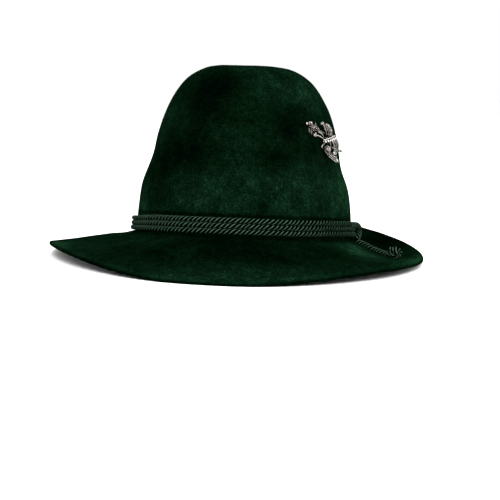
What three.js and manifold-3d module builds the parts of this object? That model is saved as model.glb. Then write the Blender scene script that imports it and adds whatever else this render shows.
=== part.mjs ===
// Alpine fedora in velour felt: one blocked felt body, a band of three turns of twisted cord whose
// end is wrapped round them, lies on the brim and ends in a knot, and a cast silver spray held by a
// post through the crown. Millimetres, +Z up. The front looks along -Y and the wearer's left is +X.
// The hat stands by itself on its brim, so it leans back a little. The origin is under its middle.
import * as THREE from "three";
import { mergeVertices } from "three/addons/utils/BufferGeometryUtils.js";
import Module from "manifold-3d";

const wasm = await Module();
wasm.setup();

// The felt, section by section from the middle of the crown's dent to the edge of the brim. Each
// section is a closed curve: its reach to the front and to the back, half its width to the wearer's
// left and right, how square it is (2 is an ellipse), its height at the front, the left, the right
// and the back, and how steeply it falls towards the front where it passes the left and the right.
// Heights are above the break, where the crown meets the brim.
const SECTION_COLUMNS = [
  "name", "front", "back", "halfLeft", "halfRight", "squareness",
  "zFront", "zLeft", "zRight", "zBack", "fallLeft", "fallRight",
];
const SECTIONS = [
  ["dentMiddle", 0, 0, 0, 0, 2.0, 112, 112, 112, 112, 0, 0],
  ["dentFloor", 22, 27, 9, 9, 2.0, 112, 112, 112, 112, 0, 0],
  ["dentWall", 42, 46, 19, 19, 2.0, 122, 122, 122, 122, 0, 0],
  ["rim", 57, 62, 31, 31, 2.1, 133, 135, 134, 134, 0, 0],
  ["shoulder", 72, 76, 49.5, 49.5, 2.15, 125, 126.5, 125.7, 124, 0, 0],
  ["upper", 83, 86, 62.8, 62.8, 2.15, 106, 107, 106.5, 105, 0, 0],
  ["middle", 91, 93, 71.4, 71.4, 2.1, 82, 82, 82, 82, 0, 0],
  ["waist", 96, 97, 76.1, 76.1, 2.1, 60, 60, 60, 60, 0, 0],
  ["swell", 100, 100, 83, 83, 2.1, 40, 40, 40, 40, 0, 0],
  ["drum", 102, 102, 85.7, 85.7, 2.1, 20, 20, 20, 20, 0, 0],
  ["band", 103, 103, 86.4, 86.4, 2.1, 5, 5, 5, 5, 0, 0],
  ["fillet", 106, 106, 89, 89, 2.1, -1, -1.2, -1, -1, 0, 0],
  ["brimRoot", 113, 113, 96, 96, 2.1, -5, -4.5, -4, -2.5, 0, 0],
  ["brimInner", 127, 127, 112, 112, 2.05, -13, -10, -8.5, -3.5, 1, 1],
  ["brimMiddle", 142, 141, 128, 130, 2.05, -22, -13, -10.8, 1, 2, 0],
  ["brimOuter", 154, 154, 139, 146, 2.0, -29.5, -12.3, -9.1, 10, 5, 5],
  ["edge", 160, 160, 145.6, 157.2, 2.0, -33.9, -12.2, -10.7, 23.2, 15, 0],
].map((row) => Object.fromEntries(SECTION_COLUMNS.map((column, i) => [column, row[i]])));
const RIM = SECTIONS.findIndex((section) => section.name === "rim");
const DRUM = SECTIONS.findIndex((section) => section.name === "drum");
const FILLET = SECTIONS.findIndex((section) => section.name === "fillet");
const EDGE = SECTIONS.length - 1;

// How closely the brim's dip keeps to the front and its rise to the back: 2 is even all round.
const DIP_POWER = 3.45;
const ROLL_UP_POWER = 2.73;

// The crown's two front pinches: degrees to each side of the front, their spread, and how deep.
const PINCH = { around: 40, spread: 20, height: 104, rise: 26, depth: 9 };
const FELT = 2.4;
const EDGE_ROUND = 0.8;

// How the hat stands: leaned back and a little to one side, with its lowest felt pressed flat.
const LEAN_BACK = 5.85;
const LEAN_SIDE = 0.2;
const PRESSED = 1.0;

// The cord band, its wrap, tail and knot.
const CORD = 4.0;
const GAP = 0.3;
const BAND_GAP = 0.4;
const TURN_SPACING = CORD + 0.2;
const LOWEST_TURN = 3.6;
const WRAP_TOP_AROUND = 103.5;
const WRAP_END_AROUND = 91.5;
const TAIL_ROUTE = [
  [92.2, -0.4], [94.1, -2.0], [96.0, -3.7], [97.9, -5.5], [99.8, -7.4],
  [101.7, -9.3], [103.6, -11.2], [105.5, -13.1], [107.4, -15.0], [109.3, -17.0],
  [111.3, -19.0], [113.3, -21.0], [115.3, -23.0], [117.4, -25.0], [119.5, -27.0],
];
const KNOT_PLACE = [124.2, -31.2];
const KNOT_WIDTH = 11.4;
const KNOT_HEIGHT = 9.6;

// How finely the faces are cut.
const AROUND_STEPS = 48;
const CORD_SIDES = 8;
const FELT_ROWS = [
  0, 1, 1.5, 2, 2.5, 3, 3.5, 4, 4.5, 5, 5.5, 6, 7, 8, 9, 10, 10.5, 11, 11.5, 12, 13, 13.5, 14, 14.5, 15, 16,
];

// The brooch, laid on the crown: across is along the crown towards the back, up is up the crown, and
// out is how far the piece's middle stands off the felt.
const BROOCH = { around: 64, height: 79, degreesPerMm: 1 / 1.486, slope: 0.95 };
const PLACES = {
  pearl: [-18.6, 9.6, 2.5],
  blossomTop: [-14.9, 8.9, 3],
  blossomLow: [-13, 6.3, 3],
  budTop: [-10, 7.6, 3.5],
  sideLeafHigh: [-17.1, 4.4, 2],
  sideLeafLow: [-16, 2.5, 2],
  berry: [-14.5, 0.1, 3],
  budMiddle: [-7.4, 3.2, 3],
  stemLow: [-8.5, 0.7, 2.5],
  stemLowEnd: [-2.6, -1.7, 2.5],
  leafTop: [0.4, 11, 3],
  leafMiddle: [2.2, 6.3, 3.5],
  leafRight: [6.7, 7, 4],
  leafEnd: [4.5, 2.5, 4],
  peak: [6.3, 1.9, 4.5],
  tieLeft: [-3.3, -3.5, 3],
  tieMiddle: [2.2, -2.3, 5],
  tieRight: [10.8, 0.1, 6],
  bundle: [7.4, -6.4, 5],
  bundleEdge: [11.5, -4.7, 6],
  loopTop: [-2.2, -4.7, 2.5],
  loopBottom: [-6.7, -8.2, 2.5],
  loopEnd: [-2.2, -10.5, 2.5],
  flower: [-1.9, -11, 4],
  leafLow: [10, -9.9, 5],
  spurRoot: [12.6, -10.5, 5.5],
  spur: [18.2, -10.5, 6.5],
  petal: [7.8, -12.7, 4],
  strandStart: [1.5, -13.3, 2.5],
  strandMiddle: [8.2, -16.7, 3],
  strandEnd: [14.9, -18.3, 3],
};
const STEMS = [
  { through: ["pearl", "blossomLow", "budMiddle", "leafEnd", "tieMiddle"], radius: 0.8 },
  { through: ["berry", "stemLow", "stemLowEnd", "tieLeft"], radius: 0.7 },
  { through: ["sideLeafHigh", "blossomLow", "budTop"], radius: 0.6 },
  { through: ["leafTop", "leafMiddle", "leafEnd", "tieMiddle", "bundle", "leafLow"], radius: 0.9 },
  { through: ["leafRight", "peak", "tieRight", "bundleEdge", "leafLow", "petal"], radius: 0.8 },
  { through: ["tieMiddle", "tieLeft", "loopTop", "loopBottom", "loopEnd", "flower"], radius: 0.7 },
  { through: ["flower", "strandStart", "strandMiddle", "strandEnd"], radius: 0.8 },
  { through: ["bundle", "leafLow", "spurRoot", "spur"], radius: 0.8 },
  { through: ["flower", "petal", "leafLow"], radius: 0.9 },
];
const TIE = { through: ["tieLeft", "tieMiddle", "tieRight"], radius: 1.1, rowGap: 1.7 };
const LEAVES = [
  { at: "leafMiddle", towards: "leafTop", length: 12, width: 5.5, thick: 1.4 },
  { at: "leafRight", towards: "peak", length: 9, width: 4.4, thick: 1.4 },
  { at: "sideLeafHigh", towards: "sideLeafLow", length: 5, width: 2.2, thick: 1.1 },
  { at: "sideLeafLow", towards: "berry", length: 5, width: 2.2, thick: 1.1 },
  { at: "bundle", towards: "leafLow", length: 11, width: 5.5, thick: 1.6 },
  { at: "bundleEdge", towards: "leafLow", length: 9, width: 3.6, thick: 1.4 },
  { at: "strandMiddle", towards: "strandEnd", length: 8, width: 3.4, thick: 1.3 },
];
const BLOSSOMS = [
  { at: "blossomTop", radius: 2.4, petals: 5 },
  { at: "blossomLow", radius: 2.8, petals: 5 },
  { at: "flower", radius: 3.8, petals: 5 },
];
const BUDS = [
  { at: "pearl", radius: 1.2 },
  { at: "berry", radius: 2.0 },
  { at: "budTop", radius: 1.5 },
  { at: "budMiddle", radius: 1.7 },
  { at: "peak", radius: 1.4 },
  { at: "petal", radius: 1.9 },
  { at: "strandEnd", radius: 1.4 },
  { at: "spur", radius: 1.1 },
];
const BOSS = { across: 2.2, up: -2.3, radius: 2.6, low: 0.4, high: 4.2 };
const POST = { radius: 0.8, hole: 1.1, clutchRadius: 4.0, clutchThick: 2.0, clutchGap: 0.7 };

const COLOURS = {
  felt: { color: 0x06170c, roughness: 0.95, metalness: 0 },
  cord: { color: 0x1d2e22, roughness: 0.6, metalness: 0 },
  silver: { color: 0x9a938f, roughness: 0.4, metalness: 1 },
  steel: { color: 0x8c8c8f, roughness: 0.3, metalness: 1 },
};

// Felt surface

function signedPower(value, power) {
  return Math.sign(value) * Math.abs(value) ** power;
}

// A point on one section, at an angle measured from the front towards the wearer's left.
function sectionPoint(index, angle) {
  const section = SECTIONS[index];
  const sine = Math.sin(angle);
  const cosine = Math.cos(angle);
  const reach = cosine > 0 ? section.front : section.back;
  const half = sine > 0 ? section.halfLeft : section.halfRight;
  const blend = (left, right) => (left + right) / 2 + (sine * (left - right)) / 2;
  const side = blend(section.zLeft, section.zRight);
  const fall = blend(section.fallLeft, section.fallRight);
  const toFront = (section.zFront - side + fall) * Math.abs(cosine) ** DIP_POWER;
  const toBack = (section.zBack - side - fall) * Math.abs(cosine) ** ROLL_UP_POWER;
  const power = 2 / section.squareness;
  return new THREE.Vector3(
    half * signedPower(sine, power),
    -reach * signedPower(cosine, power),
    side - fall * cosine + (cosine > 0 ? toFront : toBack),
  );
}

// The pinches push the crown's wall towards its axis.
function pinched(point, row, angle) {
  const degrees = THREE.MathUtils.radToDeg(Math.atan2(Math.sin(angle), Math.cos(angle)));
  const beside = Math.exp(-(((Math.abs(degrees) - PINCH.around) / PINCH.spread) ** 2));
  const level = Math.exp(-(((point.z - PINCH.height) / PINCH.rise) ** 2));
  const outside = THREE.MathUtils.smoothstep(row, RIM - 1, RIM);
  const push = PINCH.depth * beside * level * outside;
  const radius = Math.hypot(point.x, point.y);
  const keep = radius > push ? 1 - push / radius : 1;
  return new THREE.Vector3(point.x * keep, point.y * keep, point.z);
}

// The outer surface, smooth through every section. Whole rows are the sections themselves.
function surfacePoint(row, angle) {
  const start = Math.min(Math.floor(row), EDGE - 1);
  const here = sectionPoint(start, angle);
  const next = sectionPoint(start + 1, angle);
  const before = start > 0 ? sectionPoint(start - 1, angle) : here.clone().multiplyScalar(2).sub(next);
  const after = start + 2 <= EDGE ? sectionPoint(start + 2, angle) : next;
  const t = row - start;
  const point = new THREE.Vector3();
  for (const axis of ["x", "y", "z"]) {
    const [p0, p1, p2, p3] = [before[axis], here[axis], next[axis], after[axis]];
    const slope = p2 - p0;
    const bend = 2 * p0 - 5 * p1 + 4 * p2 - p3;
    const twist = 3 * p1 - p0 - 3 * p2 + p3;
    point[axis] = 0.5 * (2 * p1 + slope * t + bend * t ** 2 + twist * t ** 3);
  }
  return pinched(point, row, angle);
}

// The surface's outward normal, and its direction along the section table, towards the edge.
function surfaceFrame(row, angle) {
  const step = 0.02;
  const low = Math.max(row - step, 0);
  const high = Math.min(row + step, EDGE);
  const outward = surfacePoint(high, angle).sub(surfacePoint(low, angle)).normalize();
  if (row < step) {
    return { normal: new THREE.Vector3(0, 0, 1), outward };
  }
  const along = surfacePoint(row, angle + step).sub(surfacePoint(row, angle - step)).normalize();
  return { normal: new THREE.Vector3().crossVectors(outward, along).normalize(), outward };
}

function feltPoint(row, angle, depth) {
  const frame = surfaceFrame(row, angle);
  return surfacePoint(row, angle).addScaledVector(frame.normal, -depth);
}

// From the hat's own frame, level with the break, to the way it stands.

const lean = new THREE.Matrix4()
  .makeRotationY(THREE.MathUtils.degToRad(-LEAN_SIDE))
  .multiply(new THREE.Matrix4().makeRotationX(THREE.MathUtils.degToRad(-LEAN_BACK)));

function lowestFelt() {
  let lowest = Infinity;
  for (let row = FILLET; row <= EDGE; row += 0.1) {
    for (let degrees = 0; degrees < 360; degrees += 3) {
      const angle = THREE.MathUtils.degToRad(degrees);
      lowest = Math.min(lowest, feltPoint(Math.min(row, EDGE), angle, FELT).applyMatrix4(lean).z);
    }
  }
  return lowest;
}

const table = lowestFelt() + PRESSED;

function standing(point) {
  const placed = point.clone().applyMatrix4(lean);
  placed.z -= table;
  return placed;
}

// The felt with its underside pressed flat where it meets the table.
function standingFelt(row, angle, depth) {
  const inside = Math.min(row, EDGE);
  const under = standing(feltPoint(inside, angle, FELT));
  const point = feltPoint(inside, angle, depth);
  point.addScaledVector(surfaceFrame(inside, angle).outward, Math.max(row - EDGE, 0));
  const placed = standing(point);
  placed.z += Math.max(-under.z, 0);
  return placed;
}

// Geometry helpers

// Welds the vertices, drops empty triangles and turns the faces outwards.
function closed(geometry) {
  geometry.deleteAttribute("normal");
  geometry.deleteAttribute("uv");
  const welded = mergeVertices(geometry, 1e-3);
  const position = welded.getAttribute("position");
  const kept = [];
  let volume = 0;
  const corner = [new THREE.Vector3(), new THREE.Vector3(), new THREE.Vector3()];
  for (let i = 0; i < welded.index.count; i += 3) {
    const [a, b, c] = [0, 1, 2].map((k) => welded.index.getX(i + k));
    if (a === b || b === c || a === c) {
      continue;
    }
    kept.push(a, b, c);
    [a, b, c].forEach((vertex, k) => corner[k].fromBufferAttribute(position, vertex));
    volume += corner[0].dot(corner[1].clone().cross(corner[2]));
  }
  if (volume < 0) {
    for (let i = 0; i < kept.length; i += 3) {
      [kept[i + 1], kept[i + 2]] = [kept[i + 2], kept[i + 1]];
    }
  }
  welded.setIndex(kept);
  return welded;
}

function toSolid(geometry) {
  const welded = closed(geometry);
  const mesh = new wasm.Mesh({
    numProp: 3,
    vertProperties: new Float32Array(welded.getAttribute("position").array),
    triVerts: new Uint32Array(welded.index.array),
  });
  return new wasm.Manifold(mesh);
}

function toGeometry(solid) {
  const mesh = solid.getMesh();
  const geometry = new THREE.BufferGeometry();
  geometry.setAttribute("position", new THREE.BufferAttribute(mesh.vertProperties, mesh.numProp));
  geometry.setIndex(new THREE.BufferAttribute(mesh.triVerts, 1));
  return closed(geometry);
}

function moveVertices(geometry, move) {
  const position = geometry.getAttribute("position");
  const point = new THREE.Vector3();
  for (let i = 0; i < position.count; i += 1) {
    point.fromBufferAttribute(position, i);
    const moved = move(point);
    position.setXYZ(i, moved.x, moved.y, moved.z);
  }
  return geometry;
}

// A tube with flat ends along a smooth path.
function tube(points, radius, sides, steps) {
  const corners = [];
  for (let i = 0; i < sides; i += 1) {
    const angle = ((i + 0.5) / sides) * 2 * Math.PI;
    corners.push(new THREE.Vector2(radius * Math.cos(angle), radius * Math.sin(angle)));
  }
  return new THREE.ExtrudeGeometry(new THREE.Shape(corners), {
    steps,
    bevelEnabled: false,
    extrudePath: new THREE.CatmullRomCurve3(points, false, "centripetal"),
  });
}

// Felt body: a flat disc with two faces, turned in one piece, then moved onto the sections.
function feltGeometry() {
  const outer = FELT_ROWS.map((row) => new THREE.Vector2(row, 0));
  const inner = [...FELT_ROWS].reverse().map((row) => new THREE.Vector2(row, FELT));
  const round = new THREE.Vector2(EDGE + EDGE_ROUND, FELT / 2);
  const disc = new THREE.LatheGeometry([...outer, round, ...inner], AROUND_STEPS);
  return moveVertices(disc, (flat) => {
    const row = Math.hypot(flat.x, flat.z);
    return standingFelt(row, Math.atan2(flat.x, flat.z), flat.y);
  });
}

// Cord band

// The crown's wall at one height, and the level direction straight out of it.
function wallFrame(angle, height) {
  const rowAt = (around) => {
    let [above, below] = [DRUM - 1, FILLET];
    for (let i = 0; i < 30; i += 1) {
      const middle = (above + below) / 2;
      if (surfacePoint(middle, around).z > height) {
        above = middle;
      } else {
        below = middle;
      }
    }
    return (above + below) / 2;
  };
  const step = 0.02;
  const ahead = surfacePoint(rowAt(angle + step), angle + step);
  const behind = surfacePoint(rowAt(angle - step), angle - step);
  const along = ahead.sub(behind);
  const out = new THREE.Vector3(along.y, -along.x, 0).normalize();
  return { wall: surfacePoint(rowAt(angle), angle), out };
}

function besideWall(angle, height, outward) {
  const { wall, out } = wallFrame(angle, height);
  return wall.addScaledVector(out, outward);
}

const CORD_OUT = CORD / 2 + BAND_GAP;

function turnHeight(turn) {
  return LOWEST_TURN + turn * TURN_SPACING;
}

function bandTurn(turn) {
  const flatRadius = 100;
  const profile = [];
  for (let i = 0; i <= CORD_SIDES; i += 1) {
    const angle = ((i + 0.5) / CORD_SIDES) * 2 * Math.PI;
    profile.push(new THREE.Vector2(
      flatRadius + (CORD / 2) * Math.cos(angle),
      (CORD / 2) * Math.sin(angle),
    ));
  }
  const ring = new THREE.LatheGeometry(profile, AROUND_STEPS);
  return moveVertices(ring, (flat) => {
    const around = Math.atan2(flat.x, flat.z);
    const { wall, out } = wallFrame(around, turnHeight(turn));
    const offset = CORD_OUT + Math.hypot(flat.x, flat.z) - flatRadius;
    wall.addScaledVector(out, offset);
    wall.z += flat.y;
    return standing(wall);
  });
}

// The wrap comes out between the two upper turns, goes down outside the lower two and under them.
function wrapPoints() {
  const bottom = turnHeight(0);
  const clear = TURN_SPACING + GAP;
  const between = Math.sqrt(clear ** 2 - (TURN_SPACING / 2) ** 2);
  const outline = [
    [CORD_OUT + between, turnHeight(1.5)],
    [CORD_OUT + clear, turnHeight(1)],
    [CORD_OUT + clear, turnHeight(0.5)],
  ];
  for (const degrees of [0, -25, -50]) {
    const angle = THREE.MathUtils.degToRad(degrees);
    outline.push([CORD_OUT + clear * Math.cos(angle), bottom + clear * Math.sin(angle)]);
  }
  const start = outline[0][1];
  const end = outline.at(-1)[1];
  return outline.map(([outward, height]) => {
    const share = (start - height) / (start - end);
    const around = THREE.MathUtils.degToRad(THREE.MathUtils.lerp(WRAP_TOP_AROUND, WRAP_END_AROUND, share));
    const point = besideWall(around, turnHeight(1), outward);
    point.z = height;
    return standing(point);
  });
}

// The brim's top under a place given in plan, found by Newton's steps, and a point above it.
function aboveBrim(x, y, lift) {
  let row = (FILLET + EDGE) / 2;
  let angle = Math.atan2(x, -y);
  const step = 0.001;
  for (let i = 0; i < 20; i += 1) {
    const here = surfacePoint(row, angle);
    const byRow = surfacePoint(row + step, angle).sub(here).divideScalar(step);
    const byAngle = surfacePoint(row, angle + step).sub(here).divideScalar(step);
    const determinant = byRow.x * byAngle.y - byRow.y * byAngle.x;
    row += ((x - here.x) * byAngle.y - (y - here.y) * byAngle.x) / determinant;
    angle += ((y - here.y) * byRow.x - (x - here.x) * byRow.y) / determinant;
  }
  return standing(feltPoint(row, angle, -lift));
}

function tailPoints() {
  return TAIL_ROUTE.map(([x, y]) => aboveBrim(x, y, CORD / 2 + GAP));
}

function knotGeometry() {
  const knot = new THREE.SphereGeometry(0.5, 16, 10);
  knot.scale(KNOT_WIDTH, KNOT_WIDTH, KNOT_HEIGHT);
  const middle = aboveBrim(...KNOT_PLACE, KNOT_HEIGHT / 2 + GAP);
  return knot.translate(middle.x, middle.y, middle.z);
}

// Brooch

// Where a place on the brooch lies: on the crown, moved out along its normal.
function broochFrame(across, up) {
  const angle = THREE.MathUtils.degToRad(BROOCH.around + across * BROOCH.degreesPerMm);
  const height = BROOCH.height + up * BROOCH.slope;
  let [above, below] = [RIM + 1, DRUM];
  for (let i = 0; i < 30; i += 1) {
    const middle = (above + below) / 2;
    if (surfacePoint(middle, angle).z > height) {
      above = middle;
    } else {
      below = middle;
    }
  }
  const frame = surfaceFrame(above, angle);
  return { foot: surfacePoint(above, angle), normal: frame.normal };
}

function broochPoint(across, up, out) {
  const { foot, normal } = broochFrame(across, up);
  return foot.addScaledVector(normal, out);
}

function place(name) {
  return broochPoint(...PLACES[name]);
}

// The directions at a place: outwards, towards another place, and across.
function broochAxes(name, towards) {
  const { normal } = broochFrame(...PLACES[name]);
  const aim = place(towards).sub(place(name));
  aim.addScaledVector(normal, -aim.dot(normal)).normalize();
  const side = new THREE.Vector3().crossVectors(normal, aim);
  return new THREE.Matrix4().makeBasis(aim, side, normal).setPosition(place(name));
}

function stem({ through, radius }) {
  return tube(through.map(place), radius, 5, (through.length - 1) * 2);
}

function leaf({ at, towards, length, width, thick }) {
  const blade = new THREE.SphereGeometry(0.5, 6, 4);
  blade.rotateZ(Math.PI / 2);
  const pointed = moveVertices(blade, (point) => {
    const narrow = 1 - 0.35 * Math.abs(2 * point.x) ** 2;
    return new THREE.Vector3(point.x * length, point.y * width * narrow, point.z * thick);
  });
  return pointed.applyMatrix4(broochAxes(at, towards));
}

// A flower head: a flattened ball with its rim drawn out into petals.
function blossom({ at, radius, petals }) {
  const head = new THREE.SphereGeometry(1, petals * 2, 4);
  head.rotateX(Math.PI / 2);
  moveVertices(head, (point) => {
    const petal = 1 + 0.22 * Math.cos(petals * Math.atan2(point.y, point.x));
    return new THREE.Vector3(point.x * radius * petal, point.y * radius * petal, point.z * radius * 0.55);
  });
  return head.applyMatrix4(broochAxes(at, "tieMiddle"));
}

function bud({ at, radius }) {
  const middle = place(at);
  return new THREE.SphereGeometry(radius, 6, 4).translate(middle.x, middle.y, middle.z);
}

// The tie round the bundle: two rounded rows side by side.
function tieRows() {
  return [-0.5, 0.5].map((share) => {
    const points = TIE.through.map((name) => {
      const [across, up, out] = PLACES[name];
      return broochPoint(across, up + share * TIE.rowGap, out);
    });
    return tube(points, TIE.radius, 6, 4);
  });
}

// A round rod along the crown's normal, between two distances from the felt's outer face.
function rod(across, up, low, high, radius, sides) {
  const { foot, normal } = broochFrame(across, up);
  const round = new THREE.CylinderGeometry(radius, radius, high - low, sides);
  const turn = new THREE.Quaternion().setFromUnitVectors(new THREE.Vector3(0, 1, 0), normal);
  round.applyQuaternion(turn);
  foot.addScaledVector(normal, (low + high) / 2);
  return round.translate(foot.x, foot.y, foot.z);
}

function standSolid(geometry) {
  return toSolid(moveVertices(geometry, standing));
}

// One casting from overlapping pieces. A void that they close off between them is filled.
function joined(geometries) {
  const whole = geometries.map(standSolid).reduce((sum, part) => sum.add(part));
  return whole.decompose().sort((a, b) => b.volume() - a.volume())[0];
}

function broochGeometry() {
  const parts = [
    ...STEMS.map(stem),
    ...LEAVES.map(leaf),
    ...BLOSSOMS.map(blossom),
    ...BUDS.map(bud),
    ...tieRows(),
    rod(BOSS.across, BOSS.up, BOSS.low, BOSS.high, BOSS.radius, 12),
  ];
  return toGeometry(joined(parts));
}

// The hidden post through the felt, with its round clutch inside the crown.
function postGeometry() {
  const clutchTop = -FELT - POST.clutchGap;
  const post = rod(BOSS.across, BOSS.up, clutchTop - POST.clutchThick / 2, BOSS.low - GAP, POST.radius, 10);
  const clutch = rod(BOSS.across, BOSS.up, clutchTop - POST.clutchThick, clutchTop, POST.clutchRadius, 16);
  return toGeometry(joined([post, clutch]));
}

function feltWithHole() {
  const hole = rod(BOSS.across, BOSS.up, -3 * FELT, 2 * FELT, POST.hole, 10);
  return toGeometry(toSolid(feltGeometry()).subtract(standSolid(hole)));
}

// The hat

const felt = new THREE.MeshStandardMaterial(COLOURS.felt);
const cord = new THREE.MeshStandardMaterial(COLOURS.cord);
const silver = new THREE.MeshStandardMaterial(COLOURS.silver);
const steel = new THREE.MeshStandardMaterial(COLOURS.steel);
const hat = new THREE.Group();

function addMesh(name, geometry, material) {
  const mesh = new THREE.Mesh(geometry, material);
  mesh.name = name;
  hat.add(mesh);
  return mesh;
}

const body = addMesh("felt_body", feltWithHole(), felt);
["band_cord_lower", "band_cord_middle", "band_cord_upper"].forEach((name, turn) => {
  addMesh(name, closed(bandTurn(turn)), cord);
});
addMesh("cord_wrap", closed(tube(wrapPoints(), CORD / 2, CORD_SIDES, 16)), cord);
addMesh("cord_tail", closed(tube(tailPoints(), CORD / 2, CORD_SIDES, 16)), cord);
addMesh("tail_knot", closed(knotGeometry()), cord);
addMesh("brooch", broochGeometry(), silver);
addMesh("brooch_post", postGeometry(), steel);

const middle = new THREE.Box3().setFromObject(body).getCenter(new THREE.Vector3());
hat.position.set(-middle.x, -middle.y, 0);

export default hat;
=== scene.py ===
import math

import bmesh
import bpy
import numpy as np
from mathutils import Matrix, Vector, noise


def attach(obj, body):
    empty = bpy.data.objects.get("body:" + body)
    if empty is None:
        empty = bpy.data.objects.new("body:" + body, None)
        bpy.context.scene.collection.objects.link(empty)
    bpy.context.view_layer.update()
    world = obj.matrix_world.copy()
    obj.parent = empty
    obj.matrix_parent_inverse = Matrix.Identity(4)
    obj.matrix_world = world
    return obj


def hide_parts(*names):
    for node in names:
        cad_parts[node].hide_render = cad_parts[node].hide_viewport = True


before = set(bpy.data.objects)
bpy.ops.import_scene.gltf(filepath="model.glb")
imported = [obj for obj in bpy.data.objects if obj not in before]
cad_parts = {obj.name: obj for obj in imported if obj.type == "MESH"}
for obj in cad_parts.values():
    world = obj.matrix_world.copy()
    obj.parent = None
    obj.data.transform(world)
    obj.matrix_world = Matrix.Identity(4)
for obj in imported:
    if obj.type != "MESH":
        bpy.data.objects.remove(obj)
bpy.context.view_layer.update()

# Alpine fedora in dark green velour felt, with a band of twisted cord that ends in a knot on the
# brim, and a cast silver spray on the crown. Sizes are millimetres until a mesh is finished. The
# hat's own frame is level with the break, where crown meets brim: its front looks along -Y and the
# wearer's left is +X. It stands on its brim, leaned back a little.

MM = 0.001

# The felt, section by section from the middle of the crown's dent to the edge of the brim. Columns:
# reach to the front and to the back, half the width to the wearer's left and right, how square the
# section is (2 is an ellipse), the height at the front, the left, the right and the back, and how
# steeply it falls towards the front where it passes the left and the right.
SECTIONS = {
    "dent middle": (0, 0, 0, 0, 2.0, 112, 112, 112, 112, 0, 0),
    "dent floor": (22, 27, 9, 9, 2.0, 112, 112, 112, 112, 0, 0),
    "dent wall": (42, 46, 19, 19, 2.0, 122, 122, 122, 122, 0, 0),
    "rim": (57, 62, 31, 31, 2.1, 133, 135, 134, 134, 0, 0),
    "shoulder": (72, 76, 49.5, 49.5, 2.15, 125, 126.5, 125.7, 124, 0, 0),
    "upper": (83, 86, 62.8, 62.8, 2.15, 106, 107, 106.5, 105, 0, 0),
    "middle": (91, 93, 71.4, 71.4, 2.1, 82, 82, 82, 82, 0, 0),
    "waist": (96, 97, 76.1, 76.1, 2.1, 60, 60, 60, 60, 0, 0),
    "swell": (100, 100, 83, 83, 2.1, 40, 40, 40, 40, 0, 0),
    "drum": (102, 102, 85.7, 85.7, 2.1, 20, 20, 20, 20, 0, 0),
    "band": (103, 103, 86.4, 86.4, 2.1, 5, 5, 5, 5, 0, 0),
    "fillet": (106, 106, 89, 89, 2.1, -1, -1.2, -1, -1, 0, 0),
    "brim root": (113, 113, 96, 96, 2.1, -5, -4.5, -4, -2.5, 0, 0),
    "brim inner": (127, 127, 112, 112, 2.05, -13, -10, -8.5, -3.5, 1, 1),
    "brim middle": (142, 141, 128, 130, 2.05, -22, -13, -10.8, 1, 2, 0),
    "brim outer": (154, 154, 139, 146, 2.0, -29.5, -12.3, -9.1, 10, 5, 5),
    "edge": (160, 160, 145.6, 157.2, 2.0, -33.9, -12.2, -10.7, 23.2, 15, 0),
}
TABLE_OF_SECTIONS = np.array(list(SECTIONS.values()), float)
SECTION_NAMES = list(SECTIONS)
RIM = SECTION_NAMES.index("rim")
DRUM = SECTION_NAMES.index("drum")
FILLET = SECTION_NAMES.index("fillet")
EDGE = SECTION_NAMES.index("edge")
DIP_POWER = 3.45
ROLL_UP_POWER = 2.73
PINCH_AROUND, PINCH_SPREAD, PINCH_HEIGHT, PINCH_RISE, PINCH_DEPTH = 40, 20, 104, 26, 9
FELT = 2.4
EDGE_ROUND = 0.8
LEAN_BACK = math.radians(5.85)
LEAN_SIDE = math.radians(0.2)
PRESSED = 1.0

# The cords.
CORD = 4.0
GAP = 0.3
BAND_GAP = 0.4
TURN_SPACING = CORD + 0.2
LOWEST_TURN = 3.6
CORD_OUT = CORD / 2 + BAND_GAP
WRAP_RADIUS = 2.4  # its sharp bends open its lay, so it is a little thicker than the rest
WRAP_END_AROUND = 91.5
TAIL_ROUTE = [
    (92.2, -0.4), (94.1, -2.0), (96.0, -3.7), (97.9, -5.5), (99.8, -7.4),
    (101.7, -9.3), (103.6, -11.2), (105.5, -13.1), (107.4, -15.0), (109.3, -17.0),
    (111.3, -19.0), (113.3, -21.0), (115.3, -23.0), (117.4, -25.0), (119.5, -27.0),
]
KNOT_PLACE = (124.2, -31.2)
KNOT_WIDTH = 11.4
KNOT_HEIGHT = 9.6
LAY = 11.0
PLIES = 3

# The photograph's view: the lens stands 1.2 m from the break and one pixel of the 500 covers
# 0.82 mm there.
PICTURE_SIDE = 500
PIXEL = 0.82
DISTANCE = 1200.0
AZIMUTH = math.radians(8.5)
ELEVATION = math.radians(7.18)
ROLL = math.radians(1.66)
BREAK_PIXEL = (244.45, 235.07)
SENSOR = 36.0


# Small helpers

def unit(vectors):
    return vectors / np.maximum(np.linalg.norm(vectors, axis=-1, keepdims=True), 1e-9)


def smooth_step(share):
    """A smooth rise from 0 at 0 to 1 at 1."""
    share = np.clip(share, 0, 1)
    return share * share * (3 - 2 * share)


def hill(value, middle, spread):
    """A smooth hill: 1 at its middle, and nearly 0 two spreads away."""
    return np.exp(-(((value - middle) / spread) ** 2))


def turn_height(turn):
    """How high above the break a turn of the band has its middle. The lowest turn is 0."""
    return LOWEST_TURN + turn * TURN_SPACING


# The felt's surface, as the solids have it

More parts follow.
